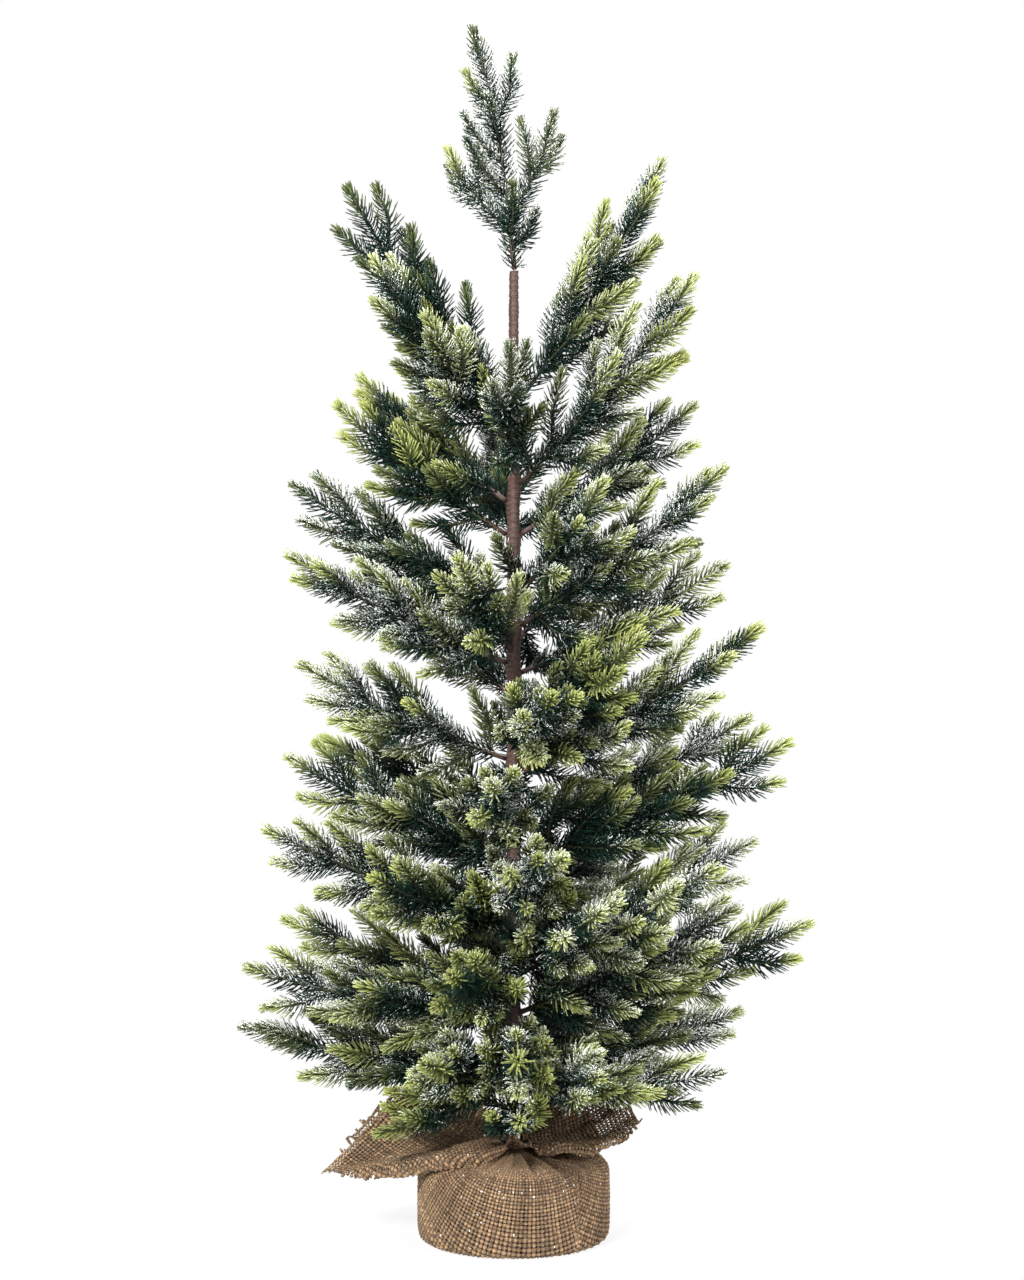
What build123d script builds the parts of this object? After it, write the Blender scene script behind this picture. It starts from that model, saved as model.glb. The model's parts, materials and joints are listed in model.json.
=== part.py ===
from build123d import *
import os
from math import cos, pi, radians, sin, tan

# Artificial tabletop tree, in millimetres. +Z is up, the origin is the centre of the face that
# the tree stands on, -Y is the front and +X is to the right of a person who faces it.

# ---- base -------------------------------------------------------------------------------------
CLOTH = 0.8                 # thickness of the burlap
DRUM_RADIUS = 55.5          # wrapped base, over the burlap
DRUM_HEIGHT = 46.5
DRUM_FOOT_ROUND = 4.0       # the burlap's round lower edge
DRUM_SHOULDER = 4.0         # and its sloping upper edge
TUB_RADIUS = 53.2
TUB_WALL = 1.2
TUB_HEIGHT = 40.0
SOCKET_RADIUS = 4.6         # boss in the tub that centres the trunk
SOCKET_HEIGHT = 9.0
CEMENT_TOP = 39.0

# ---- trunk ------------------------------------------------------------------------------------
ROD_RADIUS = 1.6
WIRE_RADIUS = 0.4
WIRE_GAP = 0.02
TAPE_THICKNESS = 0.35
TAPE_BOTTOM = 44.0
TAPE_TAPER_START = 390.0
TRUNK_TOP = 562.0
TRUNK_RADIUS_LOW = 3.8      # over the tape
TRUNK_RADIUS_TOP = 2.8
TAPE_CAP = 1.5              # thickness of the tape over the trunk's top
TAPE_OVERLAP = 2.0          # the tape reaches this far below the wires
INNER_WIRES = 8
OUTER_WIRES = 12
OUTER_WIRE_TURN = 150.0     # degrees from one outer wire to the next
OUTER_WIRE_START = 15.0
OUTER_WIRE_STEP = 24.0      # each outer wire is this much shorter than the one before

# ---- neck and tie -----------------------------------------------------------------------------
NECK_RADIUS = 8.6
NECK_HOLE_RADIUS = 4.3
NECK_LOW = 49.5
NECK_HIGH = 55.5
NECK_SLOPE = 16.0           # width of the slope that leads up to the neck
TWINE_RADIUS = 1.0
TWINE_GAP = 0.15            # between the twine and the neck
TWINE_HEIGHT = 2.3          # above the foot of the neck
TURN_GAP = 0.1              # between the two turns of twine
KNOT_RADIUS = 2.2
KNOT_GAP = 0.2

# ---- branches ---------------------------------------------------------------------------------
KNUCKLE_RADIUS = 1.7        # taped elbow where a branch's wire leaves the trunk
KNUCKLE_LENGTH = 3.0
KNUCKLE_CLEARANCE = 0.5     # between the elbow and the trunk's tape
STEM_ROOT_RADIUS = 1.9
STEM_TIP_RADIUS = 1.2
TWIG_ROOT_RADIUS = 1.5
TWIG_TIP_RADIUS = 1.1
GAP = 0.15                  # between two rods of one branch
STEM_BOW = 0.03             # how far a stem hangs below its chord, as a share of its length
STEM_STATIONS = (0.0, 0.38, 0.72, 1.0)
NEEDLE_OVERHANG = 4.0       # the end needles reach this far past the end of a rod
FORK_FROM_TIP = 42.0        # first pair of side twigs, back from the tip
FORK_PITCH = 31.0
FORK_CLEAR_OF_ROOT = 24.0
FORK_STAGGER = 5.0          # the second twig of a pair sits this much nearer the trunk
FORK_ROLL = 63.0            # each pair is turned this much about the stem from the pair before
TWIG_ANGLE = 36.0
TWIG_FIRST = 36.0           # length of the outermost side twigs
TWIG_GROWTH = 6.0           # added for each pair nearer the trunk
TWIG_LONGEST = 48.0
LEADER_FORK_RADIUS = 1.4    # stem radius where the top shoot's side twigs leave it

# height on the trunk, direction seen from above (0 is +X, 90 is the back), reach of the tip from
# the trunk's axis, rise of the tip above the root, turn of the first pair of side twigs
BRANCHES = {
    "left": [
        (91, 211, 92, -20, 10),
        (97, 177, 160, 26, 25),
        (129, 188, 156, 34, 80),
        (143, 163, 143, 38, 45),
        (190, 203, 152, 58, 40),
        (222, 178, 132, 60, 75),
        (245, 154, 128, 42, 20),
        (282, 188, 124, 56, 50),
        (338, 198, 134, 64, 10),
        (373, 174, 129, 66, 65),
        (412, 190, 103, 74, 35),
        (431, 160, 96, 70, 0),
        (465, 208, 90, 104, 120),
        (483, 172, 97, 127, 80),
    ],
    "right": [
        (92, 322, 97, 7, 165),
        (86, 357, 121, 12, 115),
        (99, 18, 142, 26, 20),
        (129, 3, 174, 55, 60),
        (134, 334, 141, 70, 45),
        (157, 318, 150, 76, 5),
        (178, 20, 153, 48, 60),
        (222, 357, 160, 70, 110),
        (239, 25, 156, 60, 15),
        (274, 338, 150, 88, 10),
        (332, 9, 126, 61, 55),
        (360, 351, 122, 90, 25),
        (412, 18, 111, 73, 65),
        (442, 344, 107, 117, 40),
        (491, 6, 86, 135, 0),
    ],
    "front": [
        (79, 272, 97, 10, 20),
        (98, 295, 116, 18, 75),
        (102, 247, 128, 24, 40),
        (110, 271, 140, 23, 90),
        (148, 256, 143, 31, 55),
        (172, 292, 130, 39, 30),
        (186, 232, 128, 41, 75),
        (205, 276, 131, 37, 15),
        (244, 264, 121, 38, 50),
        (290, 282, 103, 38, 25),
        (298, 316, 102, 60, 45),
        (345, 249, 88, 58, 0),
        (378, 309, 80, 67, 45),
        (452, 268, 62, 68, 60),
    ],
    "back": [
        (90, 126, 130, 16, 115),
        (106, 72, 142, 16, 5),
        (152, 102, 142, 36, 70),
        (196, 54, 138, 48, 25),
        (214, 130, 132, 50, 50),
        (262, 84, 122, 52, 15),
        (318, 120, 112, 60, 60),
        (350, 62, 104, 62, 30),
        (408, 100, 86, 76, 75),
    ],
}

# the forked shoot at the top: each shoot's points, then each side twig's foot, tip and the shoot
# that it grows on
LEADER_SHOOTS = [
    [(0, 0, TRUNK_TOP + 4.3), (-5, 1, 611), (-10.4, 0, 651), (-22.6, -3, 696)],
    [(-1.6, -1, 592), (14, -9, 622), (20.4, -12, 648)],
    [(-3, 1, 584), (-26, 10, 610), (-36, 14, 631)],
]
LEADER_TWIGS = [
    ((-9.8, 0, 647), (4.2, 6, 680), 0),
    ((-12, 0, 656), (-29, -9, 670), 0),
    ((9, -7, 613), (8, -20, 642), 1),
    ((12, -8, 618), (30, -2, 629), 1),
    ((-22, 8, 605), (-20.4, 0, 629), 2),
    ((-18, 7, 601), (-39, 22, 612), 2),
]

# ---- the burlap's flared collar ---------------------------------------------------------------
# direction seen from above, radius and height of the cloth's edge, sag of the cloth between the
# neck and the edge (negative where it arches over the drum). The left corner is the long one.
COLLAR = [
    (0, 71, 68, 5),
    (15, 62, 73, 5),
    (36, 46, 77, 2),
    (62, 36, 70, 0),
    (90, 58, 56, -1),
    (122, 40, 68, 0),
    (150, 64, 80, 5),
    (166, 78, 72, 4),
    (176, 92, 57, 1),
    (183, 106, 43, -2),
    (195, 82, 45, -4),
    (215, 62, 50, -6),
    (236, 44, 54, -3),
    (252, 30, 59, 0),
    (267, 21, 64, 0),
    (290, 26, 60, 0),
    (318, 44, 59, -1),
    (336, 57, 60, 0),
    (350, 66, 63, 2),
]
COLLAR_SHARES = (0.3, 0.62, 1.0)
FACETS = 48


def rod(start, end, start_radius, end_radius):
    """A straight tapered rod between two points."""
    span = end - start
    on_start = (Align.CENTER, Align.CENTER, Align.MIN)
    if start_radius == end_radius:
        shape = Cylinder(start_radius, span.length, align=on_start)
    else:
        shape = Cone(start_radius, end_radius, span.length, align=on_start)
    return Plane(origin=start, z_dir=span.normalized()) * shape


def revolved(outline):
    """A solid of revolution about Z from (radius, height) corners."""
    face = make_face(Polyline([(r, 0, z) for r, z in outline], close=True))
    return revolve(face, Axis.Z)


def polygon(corners):
    """A flat face through the corners."""
    return Face(Wire.make_polygon(corners, close=True))


def split_quad(a, b, c, d):
    """Two triangles across a quad that need not be flat."""
    return [polygon([a, b, c]), polygon([a, c, d])]


def trunk_radius(height):
    """The trunk's radius over its tape."""
    share = max(0.0, (height - TAPE_TAPER_START) / (TRUNK_TOP - TAPE_TAPER_START))
    return TRUNK_RADIUS_LOW + (TRUNK_RADIUS_TOP - TRUNK_RADIUS_LOW) * share


def hinge_point(height, azimuth):
    """Centre of the taped elbow that a branch bends at."""
    radius = trunk_radius(height) + KNUCKLE_CLEARANCE + KNUCKLE_RADIUS
    return Vector(radius, 0, height).rotate(Axis.Z, azimuth)


def knuckle(centre, azimuth):
    """The elbow: a short round piece across the branch."""
    across = Vector(0, 1, 0).rotate(Axis.Z, azimuth)
    half = across * (KNUCKLE_LENGTH / 2)
    return rod(centre - half, centre + half, KNUCKLE_RADIUS, KNUCKLE_RADIUS)


def shoot_rods(points, root_radius, tip_radius):
    """Rods along a bent shoot, each trimmed so that two of them never touch at a bend."""
    count = len(points) - 1
    directions = [(points[i + 1] - points[i]).normalized() for i in range(count)]
    radii = [root_radius + (tip_radius - root_radius) * i / count for i in range(count + 1)]
    trims = [0.0] * (count + 1)
    for i in range(1, count):
        bend = directions[i - 1].get_angle(directions[i])
        trims[i] = radii[i] * tan(radians(bend) / 2) + GAP / 2
    rods = []
    for i in range(count):
        start = points[i] + directions[i] * trims[i]
        end = points[i + 1] - directions[i] * trims[i + 1]
        rods.append((start, end, radii[i], radii[i + 1]))
    return rods


def twig_rod(foot, tip, stem_direction, stem_radius):
    """A side twig that starts just clear of the stem that it grows on."""
    span = tip - foot
    direction = span.normalized()
    slant = radians(direction.get_angle(stem_direction))
    clear = (stem_radius + GAP + TWIG_ROOT_RADIUS * cos(slant)) / sin(slant)
    return foot + direction * clear, tip, TWIG_ROOT_RADIUS, TWIG_TIP_RADIUS


def branch_rods(height, azimuth, reach, rise, roll):
    """Every rod of one branch, as (start, end, start radius, end radius)."""
    hinge = hinge_point(height, 0)
    chord = Vector(reach, 0, height + rise) - hinge
    along = chord.normalized()
    above = Vector(-along.Z, 0, along.X)
    length = chord.length - NEEDLE_OVERHANG

    def stem_point(share):
        bow = 4 * STEM_BOW * length * share * (1 - share)
        return hinge + along * (length * share) - above * bow

    points = [stem_point(share) for share in STEM_STATIONS]
    first = (points[1] - points[0]).normalized()
    points[0] = points[0] + first * (KNUCKLE_RADIUS + GAP)
    rods = shoot_rods(points, STEM_ROOT_RADIUS, STEM_TIP_RADIUS)

    pair = 0
    while FORK_FROM_TIP + pair * FORK_PITCH < length - FORK_CLEAR_OF_ROOT:
        for side in (1, -1):
            back = FORK_FROM_TIP + pair * FORK_PITCH + (FORK_STAGGER if side < 0 else 0)
            share = 1 - back / length
            span = sum(1 for station in STEM_STATIONS[1:-1] if share > station)
            tangent = (points[span + 1] - points[span]).normalized()
            up = Vector(-tangent.Z, 0, tangent.X)
            turn = radians(roll + pair * FORK_ROLL)
            outward = (Vector(0, 1, 0) * cos(turn) + up * sin(turn)) * side
            direction = tangent * cos(radians(TWIG_ANGLE)) + outward * sin(radians(TWIG_ANGLE))
            low, high = STEM_STATIONS[span:span + 2]
            share_in_span = (share - low) / (high - low)
            foot = points[span] + (points[span + 1] - points[span]) * share_in_span
            twig_length = min(TWIG_LONGEST, TWIG_FIRST + pair * TWIG_GROWTH)
            stem_radius = STEM_ROOT_RADIUS + (STEM_TIP_RADIUS - STEM_ROOT_RADIUS) * share
            rods.append(twig_rod(foot, foot + direction * twig_length, tangent, stem_radius))
        pair += 1
    return [(a.rotate(Axis.Z, azimuth), b.rotate(Axis.Z, azimuth), ra, rb) for a, b, ra, rb in rods]


def leader_rods():
    """Every rod of the forked shoot at the top."""
    rods = []
    shoots = [[Vector(*p) for p in points] for points in LEADER_SHOOTS]
    for number, points in enumerate(shoots):
        radius = STEM_ROOT_RADIUS if number == 0 else TWIG_ROOT_RADIUS
        if number:
            trunk_way = (shoots[0][1] - shoots[0][0]).normalized()
            start = twig_rod(points[0], points[1], trunk_way, STEM_ROOT_RADIUS)[0]
            points = [start] + points[1:]
        rods += shoot_rods(points, radius, TWIG_TIP_RADIUS)
    for foot, tip, number in LEADER_TWIGS:
        foot, tip = Vector(*foot), Vector(*tip)
        points = shoots[number]
        heights = [(a + b).Z / 2 for a, b in zip(points, points[1:])]
        nearest = min(range(len(heights)), key=lambda i: abs(heights[i] - foot.Z))
        way = (points[nearest + 1] - points[nearest]).normalized()
        rods.append(twig_rod(foot, tip, way, LEADER_FORK_RADIUS))
    return rods


def base_tub():
    """A shallow plastic tub with a socket in its floor for the trunk."""
    floor = CLOTH
    outline = [
        (ROD_RADIUS, floor + TUB_WALL),
        (0, floor + TUB_WALL),
        (0, floor),
        (TUB_RADIUS - DRUM_FOOT_ROUND, floor),
        (TUB_RADIUS, floor + DRUM_FOOT_ROUND),
        (TUB_RADIUS, floor + TUB_HEIGHT),
        (TUB_RADIUS - TUB_WALL, floor + TUB_HEIGHT),
        (TUB_RADIUS - TUB_WALL, floor + DRUM_FOOT_ROUND + TUB_WALL),
        (TUB_RADIUS - TUB_WALL - DRUM_FOOT_ROUND, floor + TUB_WALL),
        (SOCKET_RADIUS, floor + TUB_WALL),
        (SOCKET_RADIUS, floor + TUB_WALL + SOCKET_HEIGHT),
        (ROD_RADIUS, floor + TUB_WALL + SOCKET_HEIGHT),
    ]
    return revolved(outline)


def cement_fill():
    """The weight, cast in the tub round the socket and the rod."""
    floor = CLOTH + TUB_WALL
    inner = TUB_RADIUS - TUB_WALL
    outline = [
        (SOCKET_RADIUS, floor),
        (inner - DRUM_FOOT_ROUND, floor),
        (inner, floor + DRUM_FOOT_ROUND),
        (inner, CEMENT_TOP),
        (ROD_RADIUS, CEMENT_TOP),
        (ROD_RADIUS, floor + SOCKET_HEIGHT),
        (SOCKET_RADIUS, floor + SOCKET_HEIGHT),
    ]
    return revolved(outline)


def trunk_rod():
    """The steel rod, from the tub's floor to just under the top of the tape."""
    foot = Vector(0, 0, CLOTH + TUB_WALL)
    top = Vector(0, 0, TRUNK_TOP - TAPE_CAP - WIRE_GAP)
    return rod(foot, top, ROD_RADIUS, ROD_RADIUS)


def branch_wires():
    """The lower ends of the branches' wires, laid along the rod in two rings."""
    wires = []
    low = TAPE_BOTTOM + TAPE_OVERLAP
    high = TRUNK_TOP - TAPE_CAP - TAPE_OVERLAP
    inner_ring = ROD_RADIUS + WIRE_RADIUS + WIRE_GAP
    outer_ring = inner_ring + 2 * WIRE_RADIUS + WIRE_GAP
    for i in range(INNER_WIRES):
        foot = Vector(inner_ring, 0, low).rotate(Axis.Z, 360 * i / INNER_WIRES)
        wires.append(rod(foot, foot + Vector(0, 0, high - low), WIRE_RADIUS, WIRE_RADIUS))
    for i in range(OUTER_WIRES):
        top = TAPE_TAPER_START - OUTER_WIRE_STEP * i
        foot = Vector(outer_ring, 0, low).rotate(Axis.Z, OUTER_WIRE_TURN * i + OUTER_WIRE_START)
        wires.append(rod(foot, foot + Vector(0, 0, top - low), WIRE_RADIUS, WIRE_RADIUS))
    return wires


def trunk_tape():
    """The wound tape over the rod and the wires, closed at the top."""
    low, top = TRUNK_RADIUS_LOW, TRUNK_RADIUS_TOP
    outline = [
        (low - TAPE_THICKNESS, TAPE_BOTTOM),
        (low, TAPE_BOTTOM),
        (low, TAPE_TAPER_START),
        (top, TRUNK_TOP),
        (0, TRUNK_TOP),
        (0, TRUNK_TOP - TAPE_CAP),
        (top - TAPE_THICKNESS, TRUNK_TOP - TAPE_CAP),
        (low - TAPE_THICKNESS, TAPE_TAPER_START),
    ]
    return revolved(outline)


def neck_twine():
    """Two turns of twine round the neck, and the knot behind."""
    ring = NECK_RADIUS + TWINE_RADIUS + TWINE_GAP
    middle = NECK_LOW + TWINE_HEIGHT
    turns = [
        Pos(0, 0, middle + side * (TWINE_RADIUS + TURN_GAP / 2)) * Torus(ring, TWINE_RADIUS)
        for side in (-1, 1)
    ]
    knot = Pos(0, ring + TWINE_RADIUS + KNOT_GAP + KNOT_RADIUS, middle) * Sphere(KNOT_RADIUS)
    return turns + [knot]


def collar_edge(azimuth):
    """Radius, height and sag of the collar's cut edge in one direction."""
    closed = COLLAR + [(COLLAR[0][0] + 360,) + COLLAR[0][1:]]
    for before, after in zip(closed, closed[1:]):
        if before[0] <= azimuth <= after[0]:
            share = (azimuth - before[0]) / (after[0] - before[0])
            ease = (1 - cos(pi * share)) / 2
            return [b + (a - b) * ease for b, a in zip(before[1:], after[1:])]


def burlap_profile(azimuth):
    """The burlap's two faces in one direction, as (radius, height) from the floor to the edge."""
    corner = 1 / cos(pi / FACETS)
    inner_wall = (TUB_RADIUS + 0.1) * corner
    outer_wall = DRUM_RADIUS * corner
    chamfer = DRUM_FOOT_ROUND
    outer = [
        (outer_wall - chamfer, 0),
        (outer_wall, chamfer),
        (outer_wall, DRUM_HEIGHT - DRUM_SHOULDER),
        (outer_wall - DRUM_SHOULDER, DRUM_HEIGHT),
        (NECK_RADIUS + NECK_SLOPE, NECK_LOW - 1),
        (NECK_RADIUS, NECK_LOW),
        (NECK_RADIUS, NECK_HIGH),
    ]
    inner = [
        (inner_wall - chamfer + CLOTH, CLOTH),
        (inner_wall, CLOTH + chamfer),
        (inner_wall, DRUM_HEIGHT - DRUM_SHOULDER - CLOTH),
        (inner_wall - DRUM_SHOULDER + 1, DRUM_HEIGHT - CLOTH),
        (NECK_RADIUS + NECK_SLOPE, NECK_LOW - 1 - CLOTH),
        (NECK_HOLE_RADIUS, NECK_LOW - CLOTH),
        (NECK_HOLE_RADIUS, NECK_HIGH + 3),
    ]
    radius, height, sag = collar_edge(azimuth)
    for share in COLLAR_SHARES:
        r = NECK_RADIUS + (radius - NECK_RADIUS) * share
        z = NECK_HIGH + (height - NECK_HIGH) * share - 4 * sag * share * (1 - share)
        outer.append((r, z))
        inner.append((r - 2 * CLOTH * (1 - share), z + 1.6 * CLOTH))
    return outer, inner


def burlap_wrap():
    """One closed cloth solid: under the tub, up its side, in to the neck and out to the corners."""
    outer_rings, inner_rings = [], []
    for i in range(FACETS):
        azimuth = 360 * i / FACETS
        outer, inner = burlap_profile(azimuth)
        outer_rings.append([Vector(r, 0, z).rotate(Axis.Z, azimuth) for r, z in outer])
        inner_rings.append([Vector(r, 0, z).rotate(Axis.Z, azimuth) for r, z in inner])
    faces = [polygon([ring[0] for ring in rings]) for rings in (outer_rings, inner_rings)]
    for i in range(FACETS):
        ahead = (i + 1) % FACETS
        for rings in (outer_rings, inner_rings):
            here, there = rings[i], rings[ahead]
            for k in range(len(here) - 1):
                faces += split_quad(here[k], there[k], there[k + 1], here[k + 1])
        here, there = outer_rings[i][-1], outer_rings[ahead][-1]
        faces += split_quad(here, there, inner_rings[ahead][-1], inner_rings[i][-1])
    return Solid(Shell(faces))


def save(node, solids):
    """Write one node's solids to its STEP file."""
    group = solids if isinstance(solids, list) else [solids]
    shape = group[0] if len(group) == 1 else Compound(children=group)
    export_step(shape, f"parts/{node}.step")


def main():
    os.makedirs("parts", exist_ok=True)
    save("base_tub", base_tub())
    save("cement_fill", cement_fill())
    save("trunk_rod", trunk_rod())
    save("branch_wires", branch_wires())
    save("trunk_tape", trunk_tape())
    save("neck_twine", neck_twine())
    save("burlap_wrap", burlap_wrap())
    top_hinge = Vector(0, 0, TRUNK_TOP + KNUCKLE_CLEARANCE + KNUCKLE_RADIUS)
    save("top_leader", [knuckle(top_hinge, 0)] + [rod(*r) for r in leader_rods()])
    for side, rows in BRANCHES.items():
        for number, row in enumerate(rows, 1):
            height, azimuth = row[:2]
            solids = [knuckle(hinge_point(height, azimuth), azimuth)]
            solids += [rod(*r) for r in branch_rods(*row)]
            save(f"{side}_branch_{number:02d}", solids)


main()
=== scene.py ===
"""Looks of the artificial tabletop tree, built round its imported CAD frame.

Shapes are worked out in millimetres, in the frame's own axes, and become metres in make_piece.
"""

import json
import math

import bpy
import numpy as np
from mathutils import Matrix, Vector


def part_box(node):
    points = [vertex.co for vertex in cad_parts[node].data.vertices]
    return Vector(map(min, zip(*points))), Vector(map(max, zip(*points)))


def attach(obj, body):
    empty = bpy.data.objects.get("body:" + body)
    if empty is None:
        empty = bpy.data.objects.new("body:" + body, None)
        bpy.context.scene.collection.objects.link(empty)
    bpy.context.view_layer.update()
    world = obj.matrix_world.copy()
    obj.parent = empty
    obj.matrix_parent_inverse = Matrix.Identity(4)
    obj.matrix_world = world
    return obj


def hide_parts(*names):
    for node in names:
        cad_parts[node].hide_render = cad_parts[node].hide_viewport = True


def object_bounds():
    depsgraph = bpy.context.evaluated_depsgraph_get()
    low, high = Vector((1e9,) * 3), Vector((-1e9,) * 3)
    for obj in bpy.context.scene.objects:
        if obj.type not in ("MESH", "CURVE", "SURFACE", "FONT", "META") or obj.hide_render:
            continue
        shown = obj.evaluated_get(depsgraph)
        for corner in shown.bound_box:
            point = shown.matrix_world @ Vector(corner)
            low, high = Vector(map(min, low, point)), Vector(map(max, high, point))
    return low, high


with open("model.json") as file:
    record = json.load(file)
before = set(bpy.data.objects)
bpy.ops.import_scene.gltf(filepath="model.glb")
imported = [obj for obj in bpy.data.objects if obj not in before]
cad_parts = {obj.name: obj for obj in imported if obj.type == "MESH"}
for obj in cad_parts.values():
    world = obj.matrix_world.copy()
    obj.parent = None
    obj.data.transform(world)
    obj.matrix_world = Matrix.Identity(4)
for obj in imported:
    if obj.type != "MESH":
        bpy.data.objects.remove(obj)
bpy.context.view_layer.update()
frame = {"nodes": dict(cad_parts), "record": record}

M_TO_MM = 1000.0
MM = 0.001
SEED = 61
GOLDEN_ANGLE = 2.39996       # radians

# ---- the tree's own sizes, in millimetres
NEEDLE_LENGTH = 9.2
NEEDLE_HALF_WIDTH = 0.54
NEEDLE_HALF_THICKNESS = 0.40
NEEDLE_BOW = 0.38            # how far a needle curls towards its shoot's tip, as a share of its length
WHORL_NEEDLES = 4            # needles that leave the stem together
WHORL_PITCH = 1.6
NEEDLE_ANGLE = 66.0          # from the twig, in degrees
TIP_NEEDLE_ANGLE = 34.0
SPRIG_SPACING = 6.6          # small shoots between the branch's main twigs
SPRIG_ANGLE = 40.0
SPRIG_SPREAD = 26.0          # how much wider the sprigs stand next to the trunk, in degrees
SPRIG_SETTLE = 26.0          # the length over which that fades
SPRIG_REACH = 54.0           # of the longest, next to the trunk
SPRIG_FIRST = 12.0           # from the branch's foot
SPRIG_LAST = 0.58            # as a share of the branch's length
TRUNK_CLEARANCE = 20.0       # no sprig ends nearer to the trunk's middle
TWIG_BEND = 0.38             # how far a side twig turns towards its branch's tip
TWIG_LIFT = 9.0              # the most that a low twig is raised over the burlap
LEADER_SIZE = 0.88           # how long the top shoot's needles are, as a share of the others
STEM_RADIUS = 1.15           # moulded stem under the needles
TWIG_RADIUS = 0.8
STEM_SIDES = 8
TAPED_RADIUS = 1.55          # stem over its tape, next to the trunk
TAPED_LENGTH = 16.0
TAPE_PITCH = 2.9             # one turn of the trunk's tape
SHADED_INSIDE_TOP = 500.0            # below this height, shoots next to the trunk get less flock: painted shade for the tree's shaded inside

WEAVE_PITCH = 2.4
THREAD_HALF_WIDTH = 0.84
THREAD_HALF_THICKNESS = 0.46
THREAD_SIDES = 6
CLOTH_RISE = 0.50            # how far a thread swings out of the cloth's middle
DRUM_RADIUS = 54.9           # to the cloth's middle
DRUM_TOP = 46.0
SHOULDER_HEIGHT = 43.0       # where the drum's side rounds over
NECK_RADIUS = 8.2
NECK_HIGH = 55.8
COLLAR_INNER = NECK_RADIUS - 0.6    # where the flared cloth starts, inside the twine


# ---- small tools
def unit(v):
    """Vectors scaled to length 1."""
    return v / np.maximum(np.linalg.norm(v, axis=-1, keepdims=True), 1e-9)


def smooth_step(x):
    """0 to 1 with flat ends."""
    x = np.clip(x, 0.0, 1.0)
    return x * x * (3.0 - 2.0 * x)


def waves(points, size, seed, count=7):
    """Smooth noise from -1 to 1: a few sine waves about size millimetres long."""
    rng = np.random.default_rng(seed)
    total = np.zeros(points.shape[:-1])
    for _ in range(count):
        direction = unit(rng.normal(size=points.shape[-1]))
        pace = 2 * math.pi / (size * rng.uniform(0.7, 1.5))
        total += np.sin(points @ direction * pace + rng.uniform(0, 6.28))
    return total / (count * 0.6)


def make_piece(name, points, quads, tris, material, body, colours=None, cells=None):
    """A mesh object from millimetre points, with corner colours and a map of small cells if given."""
    quads = np.asarray(quads, dtype=np.int64).reshape(-1, 4)
    tris = np.asarray(tris, dtype=np.int64).reshape(-1, 3)
    mesh = bpy.data.meshes.new(name)
    mesh.vertices.add(len(points))
    mesh.vertices.foreach_set("co", (np.asarray(points, dtype=np.float64) * MM).ravel())
    loops = np.concatenate([quads.ravel(), tris.ravel()])
    starts = np.concatenate([np.arange(len(quads)) * 4, len(quads) * 4 + np.arange(len(tris)) * 3])
    mesh.loops.add(len(loops))
    mesh.loops.foreach_set("vertex_index", loops.astype(np.int32))
    mesh.polygons.add(len(starts))
    mesh.polygons.foreach_set("loop_start", starts.astype(np.int32))
    mesh.polygons.foreach_set("use_smooth", np.ones(len(starts), dtype=bool))
    mesh.update(calc_edges=True)
    if colours is not None:
        layer = mesh.attributes.new("tint", "FLOAT_COLOR", "POINT")
        layer.data.foreach_set("color", np.asarray(colours, dtype=np.float32).ravel())
    if cells is not None:
        layer = mesh.uv_layers.new(name="OFBake")
        layer.data.foreach_set("uv", np.asarray(cells, dtype=np.float32).ravel())
    mesh.materials.append(material)
    piece = bpy.data.objects.new(name, mesh)
    bpy.context.scene.collection.objects.link(piece)
    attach(piece, body)
    return piece


def curve_frames(points):
    """Unit tangents, and two unit vectors across each point of a curve."""
    tangents = unit(np.gradient(points, axis=0))
    steady = np.where(np.abs(tangents[:, 2:3]) < 0.9, [[0.0, 0.0, 1.0]], [[0.0, 1.0, 0.0]])
    sides = unit(np.cross(tangents, steady))
    return tangents, sides, np.cross(sides, tangents)


def run_along(curve):
    """The distance from a curve's start to each of its points."""
    return np.concatenate([[0.0], np.cumsum(np.linalg.norm(np.diff(curve, axis=0), axis=1))])


def ring_quads(rows, around):
    """Quads between each ring of points, whose first point is in rows, and the ring after it."""
    here = np.arange(around)[None, :]
    ahead = (here + 1) % around
    corners = [rows + here, rows + ahead, rows + around + ahead, rows + around + here]
    return np.stack(corners, -1).reshape(-1, 4)


def tube(points, radii, around, first=0):
    """Points and quads of a tube along a curve, closed at both ends by triangles."""
    _, sides, ups = curve_frames(points)
    turn = np.arange(around) * (2 * math.pi / around)
    ring = sides[:, None] * np.cos(turn)[None, :, None] + ups[:, None] * np.sin(turn)[None, :, None]
    verts = (points[:, None] + ring * np.asarray(radii)[:, None, None]).reshape(-1, 3)
    quads = ring_quads(np.arange(len(points) - 1)[:, None] * around, around)
    fan = np.arange(1, around - 1)
    last = (len(points) - 1) * around
    tris = np.concatenate([
        np.stack([np.zeros_like(fan), fan + 1, fan], -1),
        np.stack([np.zeros_like(fan), fan, fan + 1], -1) + last,
    ])
    return verts, quads + first, tris + first


# ---- reading the frame
ELBOW_SIZE = 6.0             # anything shorter in a branch is its elbow, not a rod
ROD_GAP = 1.0                # between two rods of one shoot
FOOT_GAP = 11.0              # the most between a twig's rod and the stem that it grows on


def node_points(node):
    """A node's vertices in millimetres, and its edges."""
    mesh = frame["nodes"][node].data
    points = np.empty(len(mesh.vertices) * 3)
    mesh.vertices.foreach_get("co", points)
    edges = np.empty(len(mesh.edges) * 2, dtype=np.int32)
    mesh.edges.foreach_get("vertices", edges)
    return points.reshape(-1, 3) * M_TO_MM, edges.reshape(-1, 2)


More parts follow.
